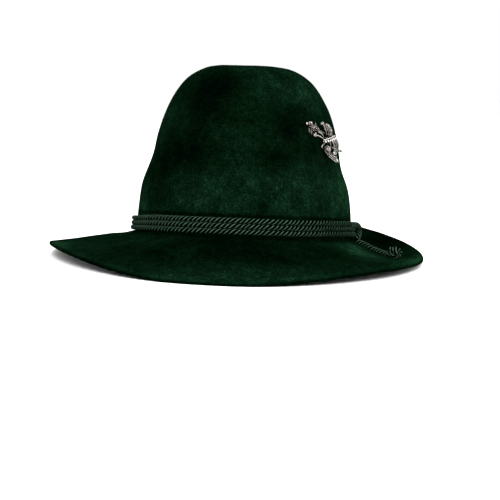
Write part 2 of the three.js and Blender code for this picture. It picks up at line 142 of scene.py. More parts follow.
def section_points(index, angle):
    """Points on the sections of these indices, at angles from the front towards the wearer's left."""
    columns = TABLE_OF_SECTIONS[index].T
    front, back, half_left, half_right, square = columns[:5]
    z_front, z_left, z_right, z_back, fall_left, fall_right = columns[5:]
    sine = np.sin(angle)
    cosine = np.cos(angle)
    power = 2 / square
    side = (z_left + z_right) / 2 + sine * (z_left - z_right) / 2
    fall = (fall_left + fall_right) / 2 + sine * (fall_left - fall_right) / 2
    to_front = (z_front - side + fall) * np.abs(cosine) ** DIP_POWER
    to_back = (z_back - side - fall) * np.abs(cosine) ** ROLL_UP_POWER
    x = np.where(sine > 0, half_left, half_right) * np.sign(sine) * np.abs(sine) ** power
    y = -np.where(cosine > 0, front, back) * np.sign(cosine) * np.abs(cosine) ** power
    z = side - fall * cosine + np.where(cosine > 0, to_front, to_back)
    return np.stack([x, y, z], axis=-1)


def pinched(points, row, angle):
    """The crown's two front pinches push its wall towards the axis."""
    degrees = np.degrees(np.arctan2(np.sin(angle), np.cos(angle)))
    beside = hill(np.abs(degrees), PINCH_AROUND, PINCH_SPREAD)
    level = hill(points[:, 2], PINCH_HEIGHT, PINCH_RISE)
    push = PINCH_DEPTH * beside * level * smooth_step(row - (RIM - 1))
    radius = np.hypot(points[:, 0], points[:, 1])
    keep = np.where(radius > push, 1 - push / np.maximum(radius, 1e-9), 1)
    return points * np.stack([keep, keep, np.ones_like(keep)], axis=-1)


def surface_points(row, angle):
    """The outer surface, smooth through every section. Whole rows are the sections themselves."""
    start = np.minimum(np.floor(row).astype(int), EDGE - 1)
    here = section_points(start, angle)
    ahead = section_points(start + 1, angle)
    before = section_points(np.maximum(start - 1, 0), angle)
    before = np.where((start > 0)[:, None], before, 2 * here - ahead)
    after = section_points(np.minimum(start + 2, EDGE), angle)
    t = (row - start)[:, None]
    bend = 2 * before - 5 * here + 4 * ahead - after
    twist = 3 * here - before - 3 * ahead + after
    points = 0.5 * (2 * here + (ahead - before) * t + bend * t**2 + twist * t**3)
    return pinched(points, row, angle)


def surface_frames(row, angle):
    """The outward normal, and the direction along the section table, towards the edge."""
    step = 0.02
    low = np.maximum(row - step, 0)
    high = np.minimum(row + step, EDGE)
    outward = unit(surface_points(high, angle) - surface_points(low, angle))
    along = unit(surface_points(row, angle + step) - surface_points(row, angle - step))
    normal = unit(np.cross(outward, along))
    normal[row < step] = (0, 0, 1)
    return normal, outward


def felt_points(row, angle, depth):
    normal, _ = surface_frames(row, angle)
    return surface_points(row, angle) - normal * np.reshape(depth, (-1, 1))


# From the hat's own frame to the way it stands

LEAN = np.array(Matrix.Rotation(-LEAN_SIDE, 3, "Y") @ Matrix.Rotation(-LEAN_BACK, 3, "X"))


def grid_of(rows, angles):
    row, angle = np.meshgrid(rows, angles)
    return row.ravel(), angle.ravel()


def lowest_felt():
    rows = np.minimum(np.arange(FILLET, EDGE + 0.05, 0.1), EDGE)
    row, angle = grid_of(rows, np.radians(np.arange(0, 360, 3)))
    return (felt_points(row, angle, FELT) @ LEAN.T)[:, 2].min()


TABLE_HEIGHT = lowest_felt() + PRESSED


def standing(points):
    return points @ LEAN.T - (0, 0, TABLE_HEIGHT)


def standing_felt(row, angle, depth):
    """The felt, with its underside pressed flat where it meets the table. Rows past the edge go
    outwards by as many millimetres."""
    inside = np.minimum(row, EDGE)
    _, outward = surface_frames(inside, angle)
    under = standing(felt_points(inside, angle, FELT))
    points = felt_points(inside, angle, depth) + outward * np.maximum(row - EDGE, 0)[:, None]
    placed = standing(points)
    placed[:, 2] += np.maximum(-under[:, 2], 0)
    return placed


def middle_of_outline():
    row, angle = grid_of([EDGE + EDGE_ROUND], np.radians(np.arange(0, 360, 7.5)))
    rim = standing_felt(row, angle, np.full(len(row), FELT / 2))
    return (rim.min(axis=0) + rim.max(axis=0)) / 2 * (1, 1, 0)


MIDDLE = middle_of_outline()


def in_frame(points):
    """Standing points in millimetres, in metres round the frame's origin."""
    return (points - MIDDLE) * MM


def placed(points):
    """Points of the hat's own frame, in metres in the shared frame."""
    return in_frame(standing(np.atleast_2d(points)))


# The crown's wall at a height, and the brim under a place

def row_at_height(angle, height, above, below):
    high = np.full_like(angle, above)
    low = np.full_like(angle, below)
    for _ in range(30):
        middle = (high + low) / 2
        is_above = surface_points(middle, angle)[:, 2] > height
        high = np.where(is_above, middle, high)
        low = np.where(is_above, low, middle)
    return (high + low) / 2


def wall_frames(angle, height):
    """The crown's wall at one height, and the level direction straight out of it."""
    step = 0.02
    ahead = surface_points(row_at_height(angle + step, height, DRUM - 1, FILLET), angle + step)
    behind = surface_points(row_at_height(angle - step, height, DRUM - 1, FILLET), angle - step)
    along = ahead - behind
    out = unit(np.stack([along[:, 1], -along[:, 0], np.zeros(len(angle))], axis=-1))
    return surface_points(row_at_height(angle, height, DRUM - 1, FILLET), angle), out


def above_brim(x, y, lift):
    """A point above the brim's top at a place given in plan, found by Newton's steps."""
    row = np.array([(FILLET + EDGE) / 2])
    angle = np.array([math.atan2(x, -y)])
    step = 0.001
    for _ in range(20):
        here = surface_points(row, angle)[0]
        by_row = (surface_points(row + step, angle)[0] - here) / step
        by_angle = (surface_points(row, angle + step)[0] - here) / step
        determinant = by_row[0] * by_angle[1] - by_row[1] * by_angle[0]
        row += ((x - here[0]) * by_angle[1] - (y - here[1]) * by_angle[0]) / determinant
        angle += ((y - here[1]) * by_row[0] - (x - here[0]) * by_row[1]) / determinant
    return felt_points(row, angle, -lift)[0]


# Camera

def add_camera():
    back = Vector((
        math.sin(AZIMUTH) * math.cos(ELEVATION),
        -math.cos(AZIMUTH) * math.cos(ELEVATION),
        math.sin(ELEVATION),
    ))
    level = Vector((math.cos(AZIMUTH), math.sin(AZIMUTH), 0))
    upright = back.cross(level)
    right = level * math.cos(ROLL) + upright * math.sin(ROLL)
    up = upright * math.cos(ROLL) - level * math.sin(ROLL)
    break_middle = Vector(standing(np.zeros((1, 3)))[0] - MIDDLE)
    across = (BREAK_PIXEL[0] - PICTURE_SIDE / 2) * PIXEL
    above = (PICTURE_SIDE / 2 - BREAK_PIXEL[1]) * PIXEL
    eye = (break_middle + back * DISTANCE - right * across - up * above) * MM
    data = bpy.data.cameras.new("camera")
    data.sensor_width = SENSOR
    data.lens = SENSOR * DISTANCE / (PICTURE_SIDE * PIXEL)
    data.clip_start = 0.05
    data.clip_end = 50
    camera = bpy.data.objects.new("camera", data)
    camera.matrix_world = Matrix.Translation(eye) @ Matrix((right, up, back)).transposed().to_4x4()
    bpy.context.scene.collection.objects.link(camera)
    bpy.context.scene.camera = camera


# Materials

def linear_colour(hex_code):
    channels = [int(hex_code[i:i + 2], 16) / 255 for i in (1, 3, 5)]
    return [c / 12.92 if c <= 0.04045 else ((c + 0.055) / 1.055) ** 2.4 for c in channels] + [1.0]


def add_node(tree, kind, inputs=None, **settings):
    """A node with its settings, and a value or a link for each named or numbered input."""
    node = tree.nodes.new(kind)
    for name, value in settings.items():
        setattr(node, name, value)
    for name, value in (inputs or {}).items():
        if isinstance(value, bpy.types.NodeSocket):
            tree.links.new(value, node.inputs[name])
        else:
            node.inputs[name].default_value = value
    return node


def new_material(name):
    """A material with a Principled shader, its node tree, and the shader."""
    material = bpy.data.materials.new(name)
    material.use_nodes = True
    tree = material.node_tree
    shader = tree.nodes["Principled BSDF"]
    return material, tree, shader


def set_sockets(shader, values):
    for name, value in values.items():
        shader.inputs[name].default_value = value


def add_math(tree, operation, *values):
    """A Math node's result, from values or links."""
    return add_node(tree, "ShaderNodeMath", dict(enumerate(values)), operation=operation).outputs[0]


def add_noise(tree, size, detail, roughness=0.5, distortion=0.0):
    """Noise of about this size, in metres, that is fixed to the object."""
    place = add_node(tree, "ShaderNodeTexCoord").outputs["Object"]
    return add_node(tree, "ShaderNodeTexNoise", {
        "Vector": place, "Scale": 1 / size, "Detail": detail, "Roughness": roughness,
        "Distortion": distortion,
    }).outputs["Fac"]


def varied(tree, base, pattern, amount):
    """The base, raised or lowered by as much as the pattern departs from its middle."""
    centred = add_math(tree, "SUBTRACT", pattern, 0.5)
    return add_math(tree, "MULTIPLY_ADD", centred, amount, base)


def colour_by(tree, shader, factor, stops):
    """The shader's base colour, from a ramp of positions and hex colours."""
    node = add_node(tree, "ShaderNodeValToRGB", {"Fac": factor})
    ramp = node.color_ramp
    while len(ramp.elements) < len(stops):
        ramp.elements.new(0.5)
    for element, (position, hex_code) in zip(ramp.elements, stops):
        element.position = position
        element.color = linear_colour(hex_code)
    tree.links.new(node.outputs["Color"], shader.inputs["Base Color"])


def velour_felt():
    """Velour is fur felt with its nap raised and brushed: matt and very dark where one looks into
    the fibres, with a soft bloom where they lean over, blotches where the nap was stroked, and
    painted light and shade."""
    material, tree, shader = new_material("velour fur felt")
    blotch_size, tuft_size, fibre_size = 15 * MM, 5 * MM, 1.2 * MM
    blotches = add_noise(tree, blotch_size, detail=3.0, roughness=0.55, distortion=0.4)
    tufts = add_noise(tree, tuft_size, detail=2.0, roughness=0.6)
    fibres = add_noise(tree, fibre_size, detail=3.0, roughness=0.75)
    # The felt's shade comes from the mesh, with the painted light and shade in it.
    shade = add_node(tree, "ShaderNodeAttribute", attribute_name="nap_and_painted_light").outputs["Fac"]
    for pattern, amount in ((blotches, 0.6), (tufts, 0.55), (fibres, 1.75)):
        shade = varied(tree, shade, pattern, amount)
    colour_by(tree, shader, shade, [
        (0.05, "#000201"), (0.35, "#010802"), (0.6, "#030F07"), (0.8, "#06180E"), (1.0, "#122D1A"),
    ])
    tuft_bump = add_node(tree, "ShaderNodeBump", {
        "Height": tufts, "Strength": 0.3, "Distance": 0.6 * MM,
    })
    fibre_bump = add_node(tree, "ShaderNodeBump", {
        "Height": fibres, "Normal": tuft_bump.outputs["Normal"], "Strength": 0.6, "Distance": 0.4 * MM,
    })
    tree.links.new(fibre_bump.outputs["Normal"], shader.inputs["Normal"])
    set_sockets(shader, {
        "Roughness": 0.95,
        "IOR": 1.5,
        "Specular IOR Level": 0.0,
        "Sheen Weight": 0.006,
        "Sheen Roughness": 0.4,
        "Sheen Tint": linear_colour("#3E8A4A"),
    })
    return material


def twisted_rayon():
    """Rayon cord laid up from three plies, each of fine yarns: a painted highlight runs along the top
    of every ply, broken by the yarns' lines, and painted shade keeps the valleys between the plies
    dark."""
    material, tree, shader = new_material("twisted rayon cord")
    along = add_node(tree, "ShaderNodeUVMap", uv_map="lay").outputs["UV"]
    parts = add_node(tree, "ShaderNodeSeparateXYZ", {"Vector": along}).outputs
    yarns_round_ply, slant = 9.0, 2.15
    yarn_light, fuzz_light, fuzz_size = 0.03, 0.12, 1.2 * MM
    slanted = add_math(tree, "MULTIPLY_ADD", parts["X"], slant, parts["Y"])
    ridge = add_math(tree, "SINE", add_math(tree, "MULTIPLY", slanted, 2 * math.pi * yarns_round_ply))
    fuzz = add_noise(tree, fuzz_size, detail=2.0, roughness=0.6)
    depth = add_node(tree, "ShaderNodeAttribute", attribute_name="ply_reach_and_painted_shade").outputs["Fac"]
    lift = add_math(tree, "MULTIPLY_ADD", ridge, yarn_light, depth)
    lift = varied(tree, lift, fuzz, fuzz_light)
    # From the ply reach: painted shade in the valleys between the plies, a painted highlight along
    # their tops.
    colour_by(tree, shader, lift, [
        (0.7, "#000100"), (0.86, "#020604"), (0.94, "#0B1810"), (1.0, "#3C5243"),
    ])
    bump = add_node(tree, "ShaderNodeBump", {"Height": ridge, "Strength": 0.35, "Distance": 0.08 * MM})
    tree.links.new(bump.outputs["Normal"], shader.inputs["Normal"])
    set_sockets(shader, {"Roughness": 0.5, "Specular IOR Level": 0.0})
    return material


def oxidised_silver():
    """Cast silver that was darkened and rubbed back: grey-black in the hollows, bright where it
    stands proud. The attribute says how proud each place is."""
    grain_size, grain_light = 0.9 * MM, 0.9
    material, tree, shader = new_material("oxidised silver")
    proud = add_node(tree, "ShaderNodeAttribute", attribute_name="proud").outputs["Fac"]
    grain = add_noise(tree, grain_size, detail=3.0, roughness=0.65)
    rubbed = varied(tree, proud, grain, grain_light)
    colour_by(tree, shader, rubbed, [(0.15, "#060505"), (0.5, "#65605A"), (0.95, "#DCD7CF")])
    bump = add_node(tree, "ShaderNodeBump", {"Height": grain, "Strength": 0.5, "Distance": 0.15 * MM})
    tree.links.new(bump.outputs["Normal"], shader.inputs["Normal"])
    set_sockets(shader, {"Metallic": 1.0, "Roughness": 0.38})
    return material


def nickel_steel():
    """Nickel-plated steel wire and stamping: smooth and grey, with faint drawing marks."""
    material, tree, shader = new_material("nickel-plated steel")
    mark_size = 0.6 * MM
    marks = add_noise(tree, mark_size, detail=2.0)
    colour_by(tree, shader, marks, [(0.3, "#9A9A9C"), (0.7, "#C2C2C4")])
    set_sockets(shader, {"Metallic": 1.0, "Roughness": 0.28})
    return material


def white_laminate():
    """The table top that the hat stands on."""
    material, _, shader = new_material("matt white laminate")
    set_sockets(shader, {
        "Base Color": linear_colour("#FEFEFE"),
        "Roughness": 0.8,
        "Specular IOR Level": 0.1,
    })
    return material


# Meshes

def mesh_of(form, name):
    mesh = bpy.data.meshes.new(name)
    form.to_mesh(mesh)
    form.free()
    return mesh


def vertex_places(mesh):
    flat = np.empty(len(mesh.vertices) * 3)
    mesh.vertices.foreach_get("co", flat)
    return flat.reshape(-1, 3)


def move_vertices(mesh, points):
    mesh.vertices.foreach_set("co", np.asarray(points, np.float32).ravel())
    mesh.update()


def turned(profile, steps):
    """A profile of (radius, height) turned all the way round Z, its poles and seam closed."""
    form = bmesh.new()
    corners = [form.verts.new((radius, 0, height)) for radius, height in profile]
    for first, second in zip(corners, corners[1:]):
        form.edges.new((first, second))
    bmesh.ops.spin(
        form, geom=form.verts[:] + form.edges[:], cent=(0, 0, 0), axis=(0, 0, 1),
        angle=2 * math.pi, steps=steps, use_merge=True, use_duplicate=False,
    )
    bmesh.ops.remove_doubles(form, verts=form.verts[:], dist=1e-5)
    return form


def finish_normals(mesh):
    form = bmesh.new()
    form.from_mesh(mesh)
    bmesh.ops.recalc_face_normals(form, faces=form.faces[:])
    form.to_mesh(mesh)
    form.free()
    mesh.update()


def add_piece(mesh, name, material, nodes=()):
    mesh.name = name
    mesh.polygons.foreach_set("use_smooth", [True] * len(mesh.polygons))
    mesh.materials.append(material)
    piece = bpy.data.objects.new(name, mesh)
    bpy.context.scene.collection.objects.link(piece)
    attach(piece, "root")
    if nodes:
        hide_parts(*nodes)
    return piece


def point_attribute(mesh, name, values):
    attribute = mesh.attributes.new(name, "FLOAT", "POINT")
    attribute.data.foreach_set("value", np.asarray(values, np.float32))


# Felt

AROUND_STEPS = 288
OUTER_STEPS = 8
INNER_STEPS = 4
EDGE_STEPS = 8

# Where the nap was stroked to lie darker or lighter, together with light and shade painted into the
# felt's colour: the place on the hat, how far it spreads across, from front to back and up, and how
# much it changes the shade.
NAP_PATCHES_AND_PAINTED_LIGHT = [
    ((-11, -80, 121), (16, 60, 9), -0.24),
    ((-26, -80, 108), (17, 60, 14), -0.42),
    ((2, -80, 96), (34, 60, 20), -0.16),
    ((-36, -80, 86), (17, 60, 12), -0.08),
    ((-4, -80, 110), (12, 60, 7), -0.18),
    ((-15, -90, 94), (11, 60, 9), -0.18),
    ((-31, -90, 63), (23, 60, 15), -0.38),
    ((-52, -80, 58), (14, 60, 16), -0.24),
    ((-60, -60, 35), (18, 60, 14), -0.12),
    ((42, -80, 99), (13, 60, 8), -0.24),
    ((40, -80, 84), (12, 60, 10), -0.3),
    ((35, -90, 61), (12, 60, 9), -0.34),
    # Painted shadow beside the spray.
    ((56, -80, 70), (12, 60, 10), -0.22),
    ((28, -95, 25), (5, 60, 7), -0.25),
    ((13, -80, 104), (14, 60, 12), 0.08),
    ((50, -70, 114), (16, 60, 13), 0.28),
    ((10, -70, 134), (40, 50, 6), 0.14),
    ((8, -95, 60), (16, 60, 16), -0.04),
    ((-10, -95, 32), (40, 60, 14), 0.06),
    ((60, -80, 36), (26, 60, 20), 0.14),
    # Painted light along the crown's side on the wearer's left.
    ((86, -20, 60), (11, 60, 50), 0.3),
    ((84, -30, 30), (12, 40, 22), 0.1),
    ((-74, -50, 22), (11, 26, 18), 0.34),
    ((-60, -40, 86), (9, 24, 24), 0.14),
    # Painted shadow along the band's front: on the brim below it and on the felt round it.
    ((20, -113, -3), (90, 9, 5), -0.3),
    ((0, -100, 10), (110, 60, 5), -0.12),
    ((-20, -122, -12), (60, 16, 14), -0.2),
    ((-44, -124, -15), (20, 14, 14), -0.16),
    ((36, -122, -14), (40, 14, 14), -0.26),
    ((84, -88, -10), (26, 16, 14), -0.26),
    ((66, -96, -8), (16, 12, 12), -0.14),
    ((-2, -152, -29), (90, 10, 12), 0.1),
    ((62, -138, -26), (30, 10, 12), 0.14),
    ((-27, -118, -10), (12, 10, 10), 0.12),
    ((-112, -86, -15), (24, 24, 14), 0.13),
    ((-141, -64, -12), (15, 22, 14), 0.4),
    ((-78, -100, -12), (24, 12, 12), -0.1),
    ((100, -52, -10), (16, 24, 14), 0.38),
    ((131, -45, -14), (14, 30, 14), 0.16),
    ((144, -6, -12), (8, 40, 14), 0.36),
    ((104, 100, -2), (34, 46, 30), -0.4),
    ((124, 20, -10), (16, 30, 14), -0.16),
]


def felt_profile():
    """The felt's section laid flat: row along it, and depth into it."""
    outer = np.linspace(0, EDGE, EDGE * OUTER_STEPS + 1)
    inner = np.linspace(EDGE, 0, EDGE * INNER_STEPS + 1)
    turn = np.linspace(0, math.pi, EDGE_STEPS + 1)[1:-1]
    squarer = 0.75
    rounding = []
    for a in turn:
        above = math.copysign(abs(math.cos(a)) ** squarer, math.cos(a))
        rounding.append((EDGE + EDGE_ROUND * math.sin(a) ** squarer, FELT / 2 * (1 - above)))
    return [(row, 0) for row in outer] + rounding + [(row, FELT) for row in inner]


def fullness(angle):
    """The crown's wall is a little fuller on the wearer's right than its block, in millimetres."""
    most = 0.8
    return most * np.clip(-np.sin(angle), 0, 1) ** 2


def brim_set(angle):
    """How far the brim's edge is set up or down from its block, in millimetres: by a few soft waves
    at the sides, and down across the back."""
    # Columns: the wave's middle and spread in degrees, and its height.
    waves = [(50, 12, 1.0), (86, 12, -1.0), (120, 11, 1.4), (-114, 9, 1.3)]
    back_from_left, back_from_right, comes_in_over, back_down = 134, 119, 10, 2.4
    degrees = np.degrees(angle)
    height = sum(rise * hill(degrees, middle, spread) for middle, spread, rise in waves)
    back_from = np.where(degrees > 0, back_from_left, back_from_right)
    return height - back_down * smooth_step((np.abs(degrees) - back_from) / comes_in_over)


def waviness(points):
    """Soft unevenness of hand-blocked felt, in millimetres."""
    wide, wide_height, narrow, narrow_height = 38, 0.7, 15, 0.22
    return np.array([
        noise.noise(Vector(p) / wide) * wide_height + noise.noise(Vector(p) / narrow) * narrow_height
        for p in points
    ])


def nap_with_painted_light(points, row):
    """The nap's shade from 0 to 1: nap patches with painted light and shade on the hat, painted shadow
    above and below the band, lighter just inside the brim's edge, and darker at the very edge."""
    painted_shadow_above, painted_shadow_below, lighter_by_edge, darker_at_edge = 0.45, 0.3, 0.1, 0.35
    above_band, below_band = turn_height(2) + 3.2, turn_height(0) - 3.8
    height = points[:, 2]
    shade = np.full(len(points), 0.5)
    for place, spread, amount in NAP_PATCHES_AND_PAINTED_LIGHT:
        shade += amount * np.exp(-np.sum(((points - place) / spread) ** 2, axis=1))
    # Painted shadow where the band's top and bottom turns meet the felt.
    shade -= painted_shadow_above * hill(height, above_band, 1.3)
    shade -= painted_shadow_below * hill(height, below_band, 1.8) * (row < FILLET + 1)
    # Lighter just inside the brim's edge, and darker at the very edge.
    shade += lighter_by_edge * hill(row, EDGE - 0.5, 0.2)
    return shade - darker_at_edge * np.clip((row - EDGE + 0.15) / 0.3, 0, 1)


def add_felt(material):
    mesh = mesh_of(turned(felt_profile(), AROUND_STEPS), "felt")
    flat = vertex_places(mesh)
    row = np.hypot(flat[:, 0], flat[:, 1])
    angle = np.arctan2(flat[:, 0], -flat[:, 1])
    depth = flat[:, 2]
    inside = np.minimum(row, EDGE)
    own = surface_points(inside, angle)
    wave = waviness(own) * np.clip((EDGE - row) / 2, 0.35, 1) * np.clip((row - 1) / 2, 0, 1)
    wave += fullness(angle) * smooth_step((row - RIM) / 2) * smooth_step(FILLET + 1 - row)
    wave += brim_set(angle) * np.clip((inside - FILLET) / (EDGE - FILLET), 0, 1) ** 2
    # The felt departs from its block only where it is clear of the table.
    clear_from, fully_clear_over = 0.5, 4
    under = standing(felt_points(inside, angle, FELT))[:, 2]
    free = np.clip((under - clear_from) / fully_clear_over, 0, 1)
    points = standing_felt(row, angle, depth - wave * free)
    points[:, 2] = np.maximum(points[:, 2], 0)
    move_vertices(mesh, in_frame(points))
    finish_normals(mesh)
    # Nap patches and painted light and shade, for the felt's colour.
    point_attribute(mesh, "nap_and_painted_light", nap_with_painted_light(own, row))
    return add_piece(mesh, "felt", material, ["felt_body"])


# Cords

SIDES_PER_PLY = 8
PLY_CENTRE = 0.536
PLY_RADIUS = 0.464
PLY_ARC = math.radians(280)
RING = 100.0


def ply_section(radius):
    """The rope's outline, ply by ply: offsets in the rope's cross-section, and each point's place
    round its own ply from 0 to 1."""
    share = (np.arange(PLIES * SIDES_PER_PLY) % SIDES_PER_PLY) / (SIDES_PER_PLY - 1)
    ply = np.arange(PLIES * SIDES_PER_PLY) // SIDES_PER_PLY
    local = (share - 0.5) * PLY_ARC
    out = PLY_CENTRE + PLY_RADIUS * np.cos(local)
    side = PLY_RADIUS * np.sin(local)
    turn = ply * 2 * math.pi / PLIES
    across = out * np.cos(turn) - side * np.sin(turn)
    up = out * np.sin(turn) + side * np.cos(turn)
    return across * radius, up * radius, ply + share, np.hypot(out, side)


def rope_form(stations, closed):
    """A plain tube bent into a ring, its sections numbered by their angle round the ring."""
    form = bmesh.new()
    sides = PLIES * SIDES_PER_PLY
    upright = Matrix.Translation((RING, 0, 0)) @ Matrix.Rotation(math.pi / 2, 4, "X")
    circle = bmesh.ops.create_circle(form, segments=sides, radius=1, matrix=upright)
    step = 2 * math.pi / (stations if closed else stations + 5)
    steps = stations if closed else stations - 1
    bmesh.ops.spin(
        form, geom=circle["verts"] + form.edges[:], cent=(0, 0, 0), axis=(0, 0, 1),
        angle=step * steps, steps=steps, use_merge=closed, use_duplicate=False,
    )
    if not closed:
        bmesh.ops.holes_fill(form, edges=form.edges[:], sides=0)
    return form, step


def path_frames(centres, closed, out=None):
    """Tangents, and two directions across. Without given directions they turn as little as they can."""
    if closed:
        tangent = unit(np.roll(centres, -1, axis=0) - np.roll(centres, 1, axis=0))
    else:
        tangent = unit(np.gradient(centres, axis=0))
    if out is None:
        first = np.cross(tangent[0], (0, 0, 1))
        normals = [first / np.linalg.norm(first)]
        for ahead in tangent[1:]:
            kept = normals[-1] - ahead * (normals[-1] @ ahead)
            normals.append(kept / np.linalg.norm(kept))
        out = np.array(normals)
    out = unit(out - tangent * np.sum(out * tangent, axis=1)[:, None])
    return tangent, out, np.cross(tangent, out)


def rope_mesh(name, centres, closed, radius=CORD / 2, out=None, start_twist=0.0, painted_shade=0.0):
    """Three plies laid up left-handed along a path of closely spaced points, in metres. Painted
    shade says how much darker the cord's colour is painted at each of the points."""
    count = len(centres)
    form, step = rope_form(count, closed)
    mesh = mesh_of(form, name)
    ring = vertex_places(mesh)
    sides = PLIES * SIDES_PER_PLY
    ring_angle = np.arctan2(ring[:, 1], ring[:, 0]) % (2 * math.pi)
    station = np.round(ring_angle / step).astype(int) % round(2 * math.pi / step)
    side_angle = np.arctan2(ring[:, 2], np.hypot(ring[:, 0], ring[:, 1]) - RING) % (2 * math.pi)
    side = np.round(side_angle / (2 * math.pi / sides)).astype(int) % sides
    follow = np.vstack([centres, centres[:1]]) if closed else centres
    length = np.concatenate([[0], np.cumsum(np.linalg.norm(np.diff(follow, axis=0), axis=1))])
    turns = length / (LAY * MM)
    if closed:
        turns *= round(turns[-1]) / turns[-1]
    whole_turns = turns[:count]
    # A cord is never laid quite evenly.
    unevenness = 0.03 * np.sin(whole_turns * 2.1) + 0.02 * np.sin(whole_turns * 5.3 + 1)
    if closed:
        unevenness *= np.sin(np.pi * whole_turns / turns[-1]) ** 0.5
    twist = start_twist - 2 * math.pi * (whole_turns + unevenness)
    tangent, out, across = path_frames(centres, closed, out)
    offset_out, offset_across, round_ply, reach = ply_section(radius * MM)
    a = offset_out[side] * np.cos(twist[station]) - offset_across[side] * np.sin(twist[station])
    b = offset_out[side] * np.sin(twist[station]) + offset_across[side] * np.cos(twist[station])
    points = centres[station] + out[station] * a[:, None] + across[station] * b[:, None]
    move_vertices(mesh, points)
    painted_shade = np.broadcast_to(painted_shade, count)
    # How far each point stands out of the rope, less the painted side shade; the colour paints shade
    # and highlight from it.
    point_attribute(mesh, "ply_reach_and_painted_shade", reach[side] - painted_shade[station])
    add_lay_uv(mesh, station, side, turns, round_ply, closed)
    finish_normals(mesh)
    return mesh


def add_lay_uv(mesh, station, side, turns, round_ply, closed):
    """U counts turns of the lay along the cord, V counts plies round it."""
    layer = mesh.uv_layers.new(name="lay")
    corner = np.empty(len(mesh.loops), int)
    mesh.loops.foreach_get("vertex_index", corner)
    along = station[corner].astype(float)
    around = side[corner].astype(float)
    count = len(turns) - 1 if closed else len(turns)
    sides = PLIES * SIDES_PER_PLY
    for polygon in mesh.polygons:
        if polygon.loop_total != 4:
            continue
        loops = slice(polygon.loop_start, polygon.loop_start + 4)
        if closed and along[loops].max() - along[loops].min() > 1:
            along[loops] = np.where(along[loops] < count / 2, count, along[loops])
        if around[loops].max() - around[loops].min() > 1:
            around[loops] = np.where(around[loops] < sides / 2, sides, around[loops])
    v = np.interp(around, np.arange(sides + 1), np.append(round_ply, PLIES))
    u = turns[along.astype(int)]
    layer.data.foreach_set("uv", np.stack([u, v], axis=-1).astype(np.float32).ravel())


def band_height(turn, angle):
    """At the sides the turns lie closer, and the band sits a little higher on the wearer's left and
    lower on the right."""
    side_from, comes_in_over = 0.6, 0.3
    side = smooth_step((np.abs(np.sin(angle)) - side_from) / comes_in_over)
    on_left = np.sin(angle) > 0
    shift = np.where(on_left, 0.8, -0.8)
    squeeze = np.where(on_left, 0.05, 0.4)
    return turn_height(turn) + side * (shift - squeeze * (turn - 1))


def band_turn(turn):
    """One turn of the band round the crown, and the directions straight out of the crown."""
    stations = 700
    angle = np.linspace(0, 2 * math.pi, stations, endpoint=False) + math.pi
    wall, out = wall_frames(angle, band_height(turn, angle))
    return placed(wall + out * (CORD_OUT + fullness(angle))[:, None]), out @ LEAN.T


def wrap_points():
    """The wrap comes out from behind the upper turn, swings out round the band's side and goes down
    outside the lower two turns and under them."""
    clear = TURN_SPACING + GAP
    # Columns: degrees around, how far out of the wall, and the turn that it is level with.
    hook = [
        (80, CORD_OUT - 0.8, 1.6),
        (85, CORD_OUT + 0.6, 1.8),
        (89.5, CORD_OUT + 2.4, 1.87),
        (94, CORD_OUT + clear - 0.5, 1.55),
        (97, CORD_OUT + clear + 0.3, 0.95),
        (96.5, CORD_OUT + clear + 0.3, 0.35),
    ]
    # Columns: degrees below the lowest turn's middle, degrees around, and how much higher.
    tuck = [(12, 94.5, 0.9), (30, 92.8, 0.5), (50, WRAP_END_AROUND, 0)]
    outline = []
    for around, outward, level in hook:
        outline.append((around, outward, float(band_height(level, math.radians(around)))))
    for below, around, higher in tuck:
        angle = math.radians(below)
        height = turn_height(0) + higher - clear * math.sin(angle)
        outline.append((around, CORD_OUT + clear * math.cos(angle), height))
    points = []
    for around, outward, height in outline:
        wall, out = wall_frames(np.array([math.radians(around)]), turn_height(1))
        point = (wall + out * outward)[0]
        point[2] = height
        points.append(point)
    return np.array(points)


def smooth_path(points, spacing):
    """A centripetal curve through the points, stepped evenly, with about this spacing."""
    steps_between = 24
    points = np.asarray(points, float)
    ends = np.vstack([2 * points[0] - points[1], points, 2 * points[-1] - points[-2]])
    curve = []
    for p0, p1, p2, p3 in zip(ends, ends[1:], ends[2:], ends[3:]):
        d0, d1, d2 = (np.linalg.norm(b - a) ** 0.5 for a, b in ((p0, p1), (p1, p2), (p2, p3)))
        m1 = ((p1 - p0) / d0 - (p2 - p0) / (d0 + d1) + (p2 - p1) / d1) * d1
        m2 = ((p2 - p1) / d1 - (p3 - p1) / (d1 + d2) + (p3 - p2) / d2) * d1
        square = 3 * (p2 - p1) - 2 * m1 - m2
        cube = 2 * (p1 - p2) + m1 + m2
        for t in np.linspace(0, 1, steps_between, endpoint=False):
            curve.append(p1 + m1 * t + square * t**2 + cube * t**3)
    curve = np.array(curve + [points[-1]])
    length = np.concatenate([[0], np.cumsum(np.linalg.norm(np.diff(curve, axis=0), axis=1))])
    even = np.linspace(0, length[-1], max(2, round(length[-1] / spacing) + 1))
    return np.stack([np.interp(even, length, curve[:, axis]) for axis in range(3)], axis=-1)


